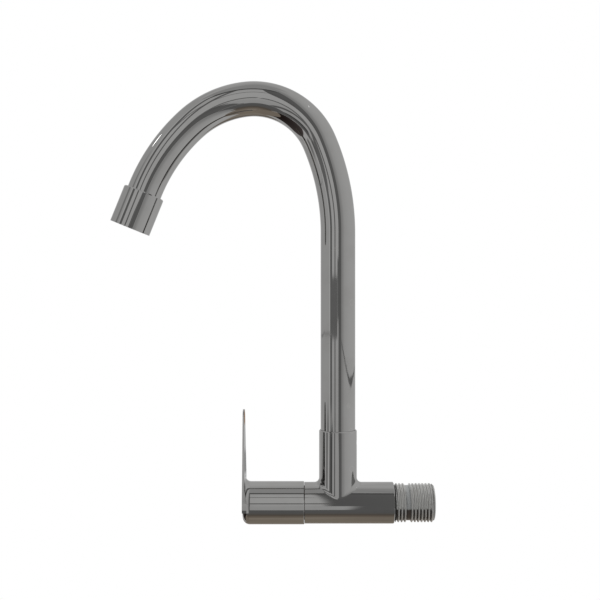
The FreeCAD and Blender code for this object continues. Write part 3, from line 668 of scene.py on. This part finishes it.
# %% Geometry Nodes: wires one way
def make_wires_tree():
    """A row of waved wires, cut to a disc."""
    tree, given, result = new_group("Wires one way", "GeometryNodeTree", {
        "Disc radius": ("Float", 0.0079), "Wires": ("Int", 25), "Wire radius": ("Float", 0.00007),
        "Wire sides": ("Int", 4), "Wave": ("Float", 1.0)}, {"Wires": "Geometry"})
    spaces = calc(tree, "ADD", given["Wires"], 1.0)
    pitch = calc(tree, "DIVIDE", calc(tree, "MULTIPLY", given["Disc radius"], 2.0), spaces)
    minus = calc(tree, "MULTIPLY", given["Disc radius"], -1.0)
    row = add_node(tree, "GeometryNodeMeshLine", {
        "Count": given["Wires"], "Start Location": joined(tree, Y=calc(tree, "ADD", minus, pitch)),
        "Offset": joined(tree, Y=pitch)})
    line = add_node(tree, "GeometryNodeCurvePrimitiveLine", {
        "Start": joined(tree, X=minus), "End": joined(tree, X=given["Disc radius"])})
    points = add_node(tree, "GeometryNodeResampleCurve", {
        "Curve": line.outputs[0], "Count": calc(tree, "MULTIPLY_ADD", spaces, 2.0, 1.0)})
    laid = add_node(tree, "GeometryNodeInstanceOnPoints", {
        "Points": row.outputs[0], "Instance": points.outputs[0]})
    real = add_node(tree, "GeometryNodeRealizeInstances", {"Geometry": laid.outputs[0]})
    position = add_node(tree, "GeometryNodeInputPosition").outputs[0]
    cut = add_node(tree, "GeometryNodeDeleteGeometry", {
        "Geometry": real.outputs[0],
        "Selection": calc(tree, "GREATER_THAN", length(tree, position), given["Disc radius"])},
        domain="POINT")
    at = split(tree, position)
    waves = [calc(tree, "COSINE", calc(tree, "MULTIPLY", calc(tree, "DIVIDE", at[axis], pitch), pi))
             for axis in "XY"]
    depth = calc(tree, "MULTIPLY", given["Wire radius"], given["Wave"])
    lift = calc(tree, "MULTIPLY", calc(tree, "MULTIPLY", *waves), depth)
    waved = add_node(tree, "GeometryNodeSetPosition", {
        "Geometry": cut.outputs[0], "Offset": joined(tree, Z=lift)})
    section = add_node(tree, "GeometryNodeCurvePrimitiveCircle", {
        "Resolution": given["Wire sides"], "Radius": given["Wire radius"]})
    wires = add_node(tree, "GeometryNodeCurveToMesh", {
        "Curve": waved.outputs[0], "Profile Curve": section.outputs[0], "Fill Caps": True})
    tree.links.new(wires.outputs[0], result["Wires"])
    return tree


wires_tree = make_wires_tree()
print("tree:", wires_tree.name, "with", len(wires_tree.nodes), "nodes")


# %% Helper: a turn in a geometry tree
def turn_about(tree, **angles):
    """A rotation from its angles about X, Y and Z in radians."""
    return add_node(tree, "FunctionNodeEulerToRotation", {0: joined(tree, **angles)}).outputs[0]


# %% Geometry Nodes: two woven screens in the outlet
def make_screens_tree():
    """Two woven discs, one turned against the other, moved to their place in the outlet."""
    tree, given, result = new_group("Woven screens", "GeometryNodeTree", {
        "Carrier": ("Geometry", None), "Disc radius": ("Float", 0.0079), "Wires": ("Int", 25),
        "Wire radius": ("Float", 0.00007), "Layer step": ("Float", 0.0003), "Layer turn": ("Float", 0.6),
        "Place": ("Vector", None), "Lean": ("Float", 0.0), "Finish": ("Material", None)},
        {"Screens": "Geometry"})
    disc = add_node(tree, "GeometryNodeJoinGeometry")
    for wave, turn in ((1.0, 0.0), (-1.0, pi / 2)):
        wires = add_node(tree, "GeometryNodeGroup", node_tree=wires_tree)
        for name in ("Disc radius", "Wires", "Wire radius"):
            tree.links.new(given[name], wires.inputs[name])
        wires.inputs["Wave"].default_value = wave
        crossed = add_node(tree, "GeometryNodeTransform", {
            "Geometry": wires.outputs[0], "Rotation": (0, 0, turn)})
        tree.links.new(crossed.outputs[0], disc.inputs[0])
    second = add_node(tree, "GeometryNodeTransform", {
        "Geometry": disc.outputs[0], "Translation": joined(tree, Z=given["Layer step"]),
        "Rotation": turn_about(tree, Z=given["Layer turn"])})
    both = add_node(tree, "GeometryNodeJoinGeometry")
    for layer in (disc, second):
        tree.links.new(layer.outputs[0], both.inputs[0])
    placed = add_node(tree, "GeometryNodeTransform", {
        "Geometry": both.outputs[0], "Translation": given["Place"],
        "Rotation": turn_about(tree, Y=given["Lean"])})
    tree.links.new(dress(tree, placed.outputs[0], given["Finish"]), result["Screens"])
    return tree


screens_tree = make_screens_tree()
print("tree:", screens_tree.name, "with", len(screens_tree.nodes), "nodes")

# %% Make the screens
sleeve_top = nose + heading(nose_turn) * nose_straight
carrier = add_object("screens_carrier", bpy.data.meshes.new("screens_carrier"))
screens = run_tree("woven_screens", carrier, screens_tree, {
    "Disc radius": screen_radius, "Wires": screen_wires, "Wire radius": wire_radius,
    "Layer step": screen_depths[1] - screen_depths[0], "Layer turn": screen_turn,
    "Place": list(sleeve_top + heading(nose_turn) * screen_depths[0]), "Lean": -radians(nose_turn),
    "Finish": steel["outlet"]})
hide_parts("aerator_screens")
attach(screens, "spout")
print("screens:", len(screens.data.polygons), "faces")

# %% [markdown]
# ## A white room
# The background is the world, white at a strength of 1 for the camera, for mirrors and for glass. Diffuse
# surfaces get less of it, and one large soft lamp adds the rest. A backdrop under strong lamps could be
# as white, but that light would fall on the tap too. A wall tap hangs high over the floor, so the floor
# lies more than a metre below. It is pale, it keeps the tap's faint shadow, and it fades into the
# background at its edge.


# %% Helper: rays that have to meet white
def sees_white(tree):
    """1 for a ray from the camera, off a mirror or through glass, and 0 for any other ray."""
    rays = tree.nodes.new("ShaderNodeLightPath").outputs
    seen = calc(tree, "MAXIMUM", rays["Is Camera Ray"], rays["Is Glossy Ray"])
    return calc(tree, "MAXIMUM", seen, rays["Is Transmission Ray"])


# %% World
def make_world(room_light):
    """White where it is seen. Room light is its strength for diffuse surfaces."""
    world = bpy.data.worlds.new("White room")
    world.use_nodes = True
    tree = world.node_tree
    sky = tree.nodes["Background"]
    sky.inputs["Color"].default_value = (1, 1, 1, 1)
    tree.links.new(swing(tree, sees_white(tree), room_light, 1.0), sky.inputs["Strength"])
    return world


bpy.context.scene.world = make_world(0.72)
bpy.context.scene.view_settings.view_transform = "Standard"
print("world:", bpy.context.scene.world.name)

# %% Soft lamp
soft_lamp = add_object("soft_lamp", bpy.data.lights.new("soft_lamp", "AREA"))
soft_lamp.data.shape = "RECTANGLE"
soft_lamp.data.size, soft_lamp.data.size_y = 1.8, 1.4
soft_lamp.data.energy = 22
soft_lamp.location = (-1.1, -1.3, 1.9)
lamp_aim = Vector((-0.05, 0, 0.1)) - soft_lamp.location
soft_lamp.rotation_euler = lamp_aim.to_track_quat("-Z", "Y").to_euler()
soft_lamp.visible_glossy = False
print("soft lamp:", soft_lamp.data.energy, "W")


# %% Floor
def make_floor(radius, height, sides):
    """A round pale floor that fades into the white room at its rim."""
    material, tree, shader, place = new_finish("Pale floor", Roughness=0.9)
    fine = use(tree, grain, place, Grains_per_metre=60.0)["Mask"]
    tree.links.new(tint(tree, fine, (0.84, 0.84, 0.83), (0.80, 0.80, 0.79)), shader.inputs["Base Color"])
    light = add_node(tree, "ShaderNodeEmission", {"Strength": 1.0})
    fade = slope(tree, length(tree, place), radius * 0.35, radius * 0.98, 0.7, 1.0)
    blend = add_node(tree, "ShaderNodeMixShader", {
        0: calc(tree, "MULTIPLY", sees_white(tree), fade), 1: shader.outputs[0], 2: light.outputs[0]})
    tree.links.new(blend.outputs[0], tree.nodes["Material Output"].inputs["Surface"])
    turns = [2 * pi * k / sides for k in range(sides)]
    mesh = bpy.data.meshes.new("studio_floor")
    mesh.from_pydata([(radius * cos(turn), radius * sin(turn), height) for turn in turns], [], [range(sides)])
    mesh.materials.append(material)
    floor = add_object("studio_floor", mesh)
    return floor


floor = make_floor(radius=3.2, height=-1.15, sides=96)
print("floor:", floor.name, "with", len(floor.data.vertices), "corners")

# %% [markdown]
# ## Cards for the mirror to see
# In an all-white room a mirror looks flat and chalky. A photographer hangs grey and black cards round it,
# and the photo shows such things in the plate: a window with dark bars in front, a dark chest low on the
# left, a brown floor and a grey wall on the right. A picture of a room could stand round the tap, but a
# card can be moved to just where its reflection has to lie. The cards are patches of a sphere round the
# tap, and only mirrors see them. Each is placed by azimuth, from the camera's side towards the wall, and
# by elevation, both in degrees, and its edges are soft.

# %% Where a card hangs
tap_middle = Vector((-0.0525, 0.0, 0.09))


def aim(azimuth, elevation):
    """The direction at an azimuth from the camera's side towards the wall, and an elevation, in degrees."""
    a, e = radians(azimuth), radians(elevation)
    return Vector((cos(e) * sin(a), -cos(e) * cos(a), sin(e)))


# %% Paint for a card
def soft_side(tree, along, width):
    """1 inside and 0 at both ends of a side. Along and the width are shares of the side."""
    from_middle = calc(tree, "ABSOLUTE", calc(tree, "SUBTRACT", along, 0.5))
    return slope(tree, calc(tree, "SUBTRACT", 0.5, from_middle), 0.0, width)


def card_paint(name, shades, soft, axis):
    """A glowing paint. Shades is one shade, or maps places from 0 to 1 along an axis to shades."""
    material = bpy.data.materials.new(name)
    material.use_nodes = True
    tree = material.node_tree
    tree.nodes.remove(tree.nodes["Principled BSDF"])
    at = split(tree, tree.nodes.new("ShaderNodeUVMap").outputs["UV"])
    ramp = add_node(tree, "ShaderNodeValToRGB", {"Fac": at[axis]})
    if not isinstance(shades, dict):
        shades = {0.0: shades, 1.0: shades}
    stops = ramp.color_ramp.elements
    while len(stops) < len(shades):
        stops.new(0.5)
    for stop, (position, colour) in zip(stops, sorted(shades.items())):
        stop.position = position
        stop.color = (*colour, 1) if isinstance(colour, tuple) else (colour, colour, colour, 1)
    light = add_node(tree, "ShaderNodeEmission", {"Color": ramp.outputs["Color"]})
    clear = add_node(tree, "ShaderNodeBsdfTransparent")
    mask = calc(tree, "MULTIPLY", soft_side(tree, at["X"], soft[0]), soft_side(tree, at["Y"], soft[1]))
    blend = add_node(tree, "ShaderNodeMixShader", {0: mask, 1: clear.outputs[0], 2: light.outputs[0]})
    tree.links.new(blend.outputs[0], tree.nodes["Material Output"].inputs["Surface"])
    return material


# %% Helper: hang rows of points
def hang(name, rows, shades, soft, axis="X"):
    """Hangs a sheet through rows of points that only mirrors see. Soft gives its edges as shares."""
    count = len(rows[0])
    mesh = bpy.data.meshes.new(name)
    mesh.from_pydata([point for row in rows for point in row], [], [
        (k, k + 1, k + count + 1, k + count)
        for j in range(len(rows) - 1) for k in range(j * count, j * count + count - 1)])
    uv = mesh.uv_layers.new(name="UVMap").data
    for loop in mesh.loops:
        j, i = divmod(loop.vertex_index, count)
        uv[loop.index].uv = (i / (count - 1), j / (len(rows) - 1))
    mesh.materials.append(card_paint(name, shades, soft, axis))
    sheet = add_object(name, mesh)
    sheet.visible_camera = sheet.visible_diffuse = False
    sheet.visible_shadow = sheet.visible_transmission = False


# %% Helper: hang a card
degrees_per_face = 3


def hang_card(name, azimuths, elevations, shades, soft, distance, axis="X"):
    """Hangs a card between two azimuths and two elevations. Soft is the width of its edges in degrees."""
    wide, high = azimuths[1] - azimuths[0], elevations[1] - elevations[0]
    across, up = (max(2, int(side / degrees_per_face)) for side in (wide, high))
    rows = [[tap_middle + aim(azimuths[0] + wide * i / across, elevations[0] + high * j / up) * distance
             for i in range(across + 1)] for j in range(up + 1)]
    hang(name, rows, shades, (soft[0] / wide, soft[1] / high), axis)


# %% Walls and ceiling
hang_card("card_left_wall", (-148, -60), (-13, 78), 0.82, (3, 5), 2.10)
hang_card("card_right_wall", (19.5, 172), (-80, 80), {
    0.0: 0.54, 0.07: 0.66, 0.15: 0.84, 0.3: 0.91, 0.45: 0.95, 0.7: 0.98, 1.0: 0.92}, (1.5, 10), 1.36)
hang_card("card_ceiling", (-92, 92), (61, 92), 0.66, (3, 1), 1.92)
hang_card("card_ceiling_back", (88, 272), (60, 94), {
    0.0: 0.98, 0.4: 0.90, 0.75: 0.74, 1.0: 0.66}, (3, 4), 1.94, axis="Y")
print("walls and ceiling hung")

# %% The window in front
hang_card("card_pane", (-56, 3.5), (-37, 61), {
    0.0: 0.78, 0.2: 0.80, 0.32: 0.86, 0.45: 0.94, 0.75: 0.93, 1.0: 0.85}, (3, 1), 2.06, axis="Y")
hang_card("card_left_jamb", (-55.2, -40.3), (-10, 60), {0.0: 0.30, 0.5: 0.25, 1.0: 0.3}, (2.0, 3), 2.02)
hang_card("card_left_jamb_foot", (-54.9, -34.5), (-36, -8.3), {
    0.0: 0.30, 0.65: 0.20, 0.85: 0.07, 1.0: 0.2}, (2.0, 1.5), 2.01)
hang_card("card_mullion", (-24.7, -17.4), (-36, 60), 0.27, (1.0, 3), 2.03)
hang_card("card_right_jamb", (1.5, 21), (-36, 62), {
    0.0: 0.22, 0.35: 0.265, 0.7: 0.28, 0.85: 0.24, 1.0: 0.45}, (1.0, 3), 2.00)
hang_card("card_pane_foot", (-2, 5.0), (-32, -9.5), 0.80, (1.5, 2.0), 1.97)
hang_card("card_lintel", (-51, 20), (54.6, 62.0), 0.16, (6, 1.0), 1.80)
hang_card("card_high_bar", (-44, 2), (34.4, 37.8), 0.25, (2, 1.0), 1.98)
hang_card("card_low_bar_left", (-52, -4.9), (-2.6, 3.1), 0.31, (0.4, 0.6), 1.40)
hang_card("card_low_bar_right", (-4.6, 3), (-1.1, 4.6), 0.31, (0.4, 0.6), 1.40)
print("window hung")

# %% A post left of the window
hang_card("card_left_post", (-87, -70), (10, 40), {
    0.0: 0.44, 0.5: 0.46, 1.0: 0.72}, (5, 8), 2.04, axis="Y")
hang_card("card_left_post_foot", (-80, -63), (-17, -6.5), 0.40, (4, 3), 2.05)
print("post hung")

# %% What stands on the floor
hang_card("card_under_window", (-57, 22), (-62, -32.0), {
    0.0: (0.18, 0.155, 0.13), 0.25: (0.24, 0.225, 0.21), 0.5: 0.235, 1.0: 0.25}, (4, 2), 1.15, axis="Y")
hang_card("card_chest", (-137, -54), (-53, -19), {
    0.0: (0.03, 0.02, 0.018), 0.3: (0.05, 0.038, 0.036), 0.8: (0.105, 0.085, 0.082),
    1.0: (0.15, 0.12, 0.118)}, (4, 1.5), 1.12, axis="Y")
hang_card("card_lit_band", (-146, -108), (-18, -9), {
    0.0: 1.0, 0.3: 1.0, 0.65: 0.76, 1.0: 0.68}, (8, 3), 1.22)
hang_card("card_pillar", (95, 110), (-76, -19.5), {
    0.0: 0.44, 0.8: 0.44, 1.0: 0.40}, (3, 4), 1.19, axis="Y")
print("standing cards hung")

# %% The floor that mirrors see
hang_card("card_floor_front", (-62, 32), (-97, -57.5), {
    0.17: (0.52, 0.45, 0.37), 0.38: (0.57, 0.49, 0.41), 0.54: (0.42, 0.36, 0.29), 0.70: (0.34, 0.28, 0.23),
    0.86: (0.25, 0.21, 0.17), 1.0: (0.20, 0.17, 0.145)}, (4, 3), 1.13, axis="Y")
hang_card("card_floor_right", (25, 162), (-97, -67), {
    0.0: (0.50, 0.43, 0.35), 1.0: (0.42, 0.36, 0.30)}, (4, 1.5), 1.14, axis="Y")
hang_card("card_floor_left", (-160, -56), (-97, -45), (0.45, 0.38, 0.31), (4, 4), 1.16)
hang_card("card_floor_back", (154, 208), (-97, -17), {
    0.0: (0.48, 0.41, 0.33), 0.3: (0.50, 0.43, 0.34), 0.46: (0.49, 0.42, 0.34), 0.62: (0.56, 0.50, 0.43),
    0.74: (0.50, 0.43, 0.36), 0.88: (0.28, 0.23, 0.185), 1.0: (0.30, 0.25, 0.20)}, (6, 2), 1.17, axis="Y")
print("floor cards hung")

# %% [markdown]
# ## Small things in the mirror
# The back of the lever is seen at a flat angle and mirrors a small patch far behind it, brown near its
# top. A thin dark rail runs round the walls and draws the fine lines on the tube. It rises and falls, so
# it is a strip through points and not a card. Two small lamps make the sharp glints. They could be
# bright cards, but a lamp also lights the dull pieces.

# %% Behind the lever
hang_card("card_behind_lever", (175.6, 179.2), (-13.3, -7.4), {
    0.0: 0.80, 0.12: 0.70, 0.18: 0.35, 0.39: 0.35, 0.475: 0.62, 0.745: 0.60, 0.80: (0.40, 0.28, 0.20),
    0.90: (0.38, 0.25, 0.17), 1.0: 0.25}, (0.3, 0.2), 2.00, axis="Y")
print("card behind the lever hung")


# %% A thin dark rail round the walls
def hang_rail(name, turns, shade, distance):
    """A thin strip through points given as (azimuth, elevation, half height in millimetres)."""
    rows = [[tap_middle + aim(azimuth, elevation) * distance + Vector((0, 0, side * half / 1000))
             for azimuth, elevation, half in turns] for side in (-1, 1)]
    hang(name, rows, shade, soft=(0.03, 0.25))


hang_rail("rail_right", [
    (20.5, -2.5, 5), (30, -3.2, 5), (40, -3.8, 6), (58, -4.9, 7), (76, -5.75, 9), (86, -5.95, 11),
    (93, -5.9, 14), (104, -5.75, 11), (115, -5.45, 6), (146, -4.45, 4)], 0.27, 1.30)
hang_rail("rail_left", [(-146, -2.1, 4), (-106, -1.85, 4), (-70, -1.9, 4), (-44, -2.0, 4)], 0.5, 1.32)
print("rails hung")


# %% Two small lamps
def hang_lamp(name, azimuth, elevation, size, glow, distance):
    """A small round lamp. Glow is how bright it looks, where 1 is white."""
    way = aim(azimuth, elevation)
    lamp = add_object(name, bpy.data.lights.new(name, "AREA"))
    lamp.data.shape, lamp.data.size = "DISK", size
    lamp.data.energy = glow * pi * pi * size * size / 4
    lamp.location = tap_middle + way * distance
    lamp.rotation_euler = (-way).to_track_quat("-Z", "Y").to_euler()


hang_lamp("left_lamp", -99, 40.5, size=0.10, glow=7.0, distance=1.3)
hang_lamp("right_lamp", 80, 58, size=0.03, glow=8.0, distance=1.3)
print("small lamps hung")
